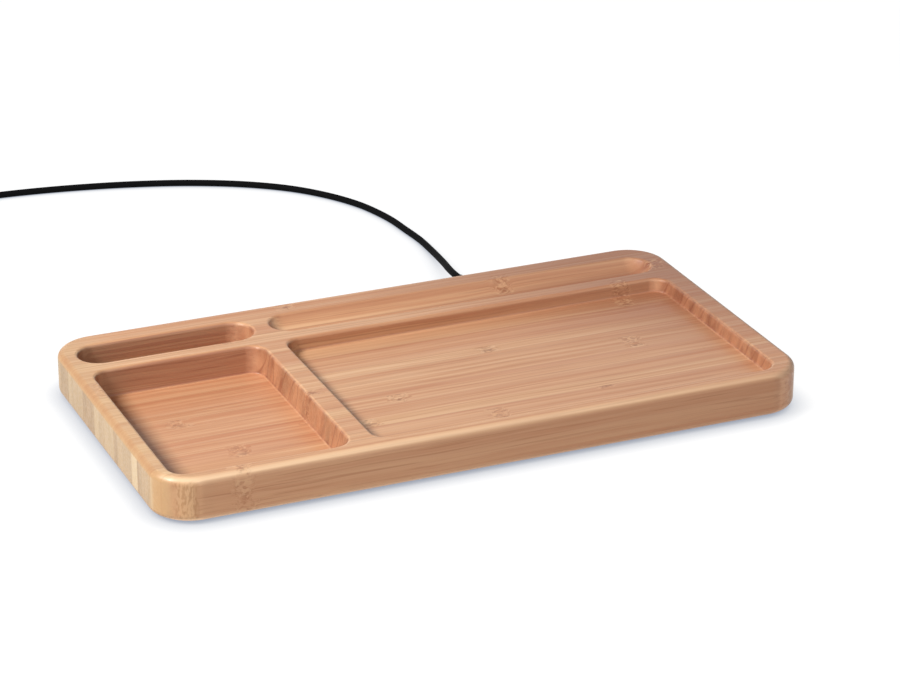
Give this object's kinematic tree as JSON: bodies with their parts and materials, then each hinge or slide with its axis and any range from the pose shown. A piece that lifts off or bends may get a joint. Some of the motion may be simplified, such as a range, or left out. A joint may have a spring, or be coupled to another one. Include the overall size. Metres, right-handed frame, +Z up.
{
  "type": "wireless charger",
  "caption": "Bamboo desk tray that charges a phone wirelessly, with a charging pocket, clip tray, card slot, pen groove and a detachable lead.",
  "frame": {"origin": "on the desk, under the middle of the tray", "axes": "+X along the tray's length to its right end, +Y to its back, where the lead leaves, +Z up"},
  "size_m": [0.3015, 0.3584, 0.019],
  "materials": {
    "bamboo": "laminated bamboo, sanded and clear satin lacquered",
    "foot_rubber": "matte moulded rubber",
    "cover_plastic": "fine moulded texture",
    "screw_steel": "zinc-plated steel",
    "grey_foam": "closed-cell foam",
    "litz_copper": "enamelled copper litz wire",
    "ferrite": "sintered ferrite",
    "white_plastic": "moulded plastic",
    "board_green": "solder mask on glass laminate",
    "chip_black": "moulded epoxy",
    "ceramic_tan": "ceramic chip",
    "core_grey": "pressed iron powder",
    "nickel_plate": "nickel-plated sheet steel",
    "plug_rubber": "moulded soft plastic",
    "cord_pvc": "smooth cord jacket",
    "tie_rubber": "matte strap"
  },
  "bodies": {
    "tray": {"tray_body": "bamboo", "foot_front_left": "foot_rubber", "foot_front_right": "foot_rubber", "foot_back_left": "foot_rubber", "foot_back_right": "foot_rubber", "bottom_cover": "cover_plastic", "cover_screw_1": "screw_steel", "cover_screw_2": "screw_steel", "cover_screw_3": "screw_steel", "cover_screw_4": "screw_steel", "coil_pad": "grey_foam", "charging_coil": "litz_copper", "ferrite_shield": "ferrite", "coil_carrier": "white_plastic", "circuit_board": "board_green", "controller_chip": "chip_black", "bridge_chip_1": "chip_black", "bridge_chip_2": "chip_black", "resonance_capacitor_1": "ceramic_tan", "resonance_capacitor_2": "ceramic_tan", "resonance_capacitor_3": "ceramic_tan", "resonance_capacitor_4": "ceramic_tan", "input_capacitor_1": "ceramic_tan", "input_capacitor_2": "ceramic_tan", "power_inductor": "core_grey", "socket_shell": "nickel_plate", "socket_tongue": "chip_black"},
    "lead": {"plug_shell": "nickel_plate", "plug_grip": "plug_rubber", "plug_relief": "plug_rubber", "cord_run": "cord_pvc", "cord_coil": "cord_pvc", "cord_tie": "tie_rubber", "usb_relief": "plug_rubber", "usb_grip": "plug_rubber", "usb_shell": "nickel_plate", "usb_tongue": "white_plastic"}
  },
  "joints": [
    {"name": "plug_slide", "type": "slide", "parent": "tray", "child": "lead", "axis": [0, 1, 0], "range_m": [0, 0.008]}
  ]
}
